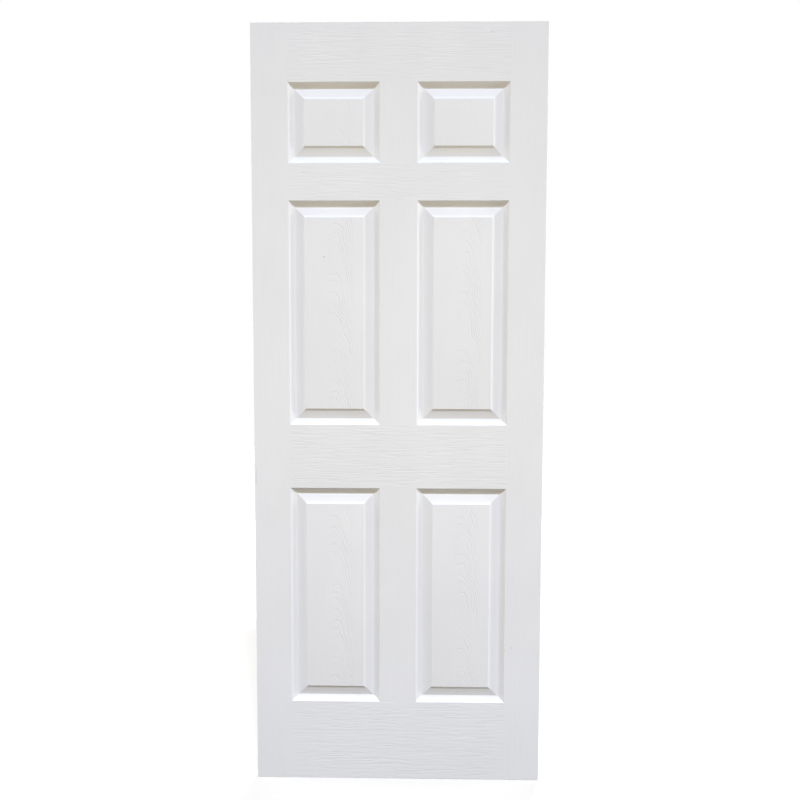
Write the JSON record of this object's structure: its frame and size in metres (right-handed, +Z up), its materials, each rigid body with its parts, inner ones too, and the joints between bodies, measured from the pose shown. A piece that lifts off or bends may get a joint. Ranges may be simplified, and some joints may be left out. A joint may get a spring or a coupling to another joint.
{
  "type": "hollow core door leaf",
  "caption": "Flush-edged hollow core door leaf with moulded raised-panel skins, timber edge frame, lock blocks and paper honeycomb core, ready to be hung.",
  "frame": {"origin": "middle of the bottom edge, halfway through the thickness", "axes": "+Z up along the height, +Y through the thickness from the front face to the back face, +X across the width"},
  "size_m": [0.8, 0.035, 2.1],
  "materials": {
    "primed_skin": "white primed moulded fibreboard with an embossed wood grain",
    "frame_timber": "planed bare softwood",
    "core_paper": "brown kraft paper",
    "staple_wire": "galvanised wire"
  },
  "bodies": {
    "root": {"front_skin": "primed_skin", "back_skin": "primed_skin", "hinge_stile": "frame_timber", "latch_stile": "frame_timber", "top_rail": "frame_timber", "bottom_rail": "frame_timber", "hinge_side_lock_block": "frame_timber", "latch_side_lock_block": "frame_timber", "honeycomb_core": "core_paper", "corner_staples": "staple_wire"}
  },
  "joints": []
}
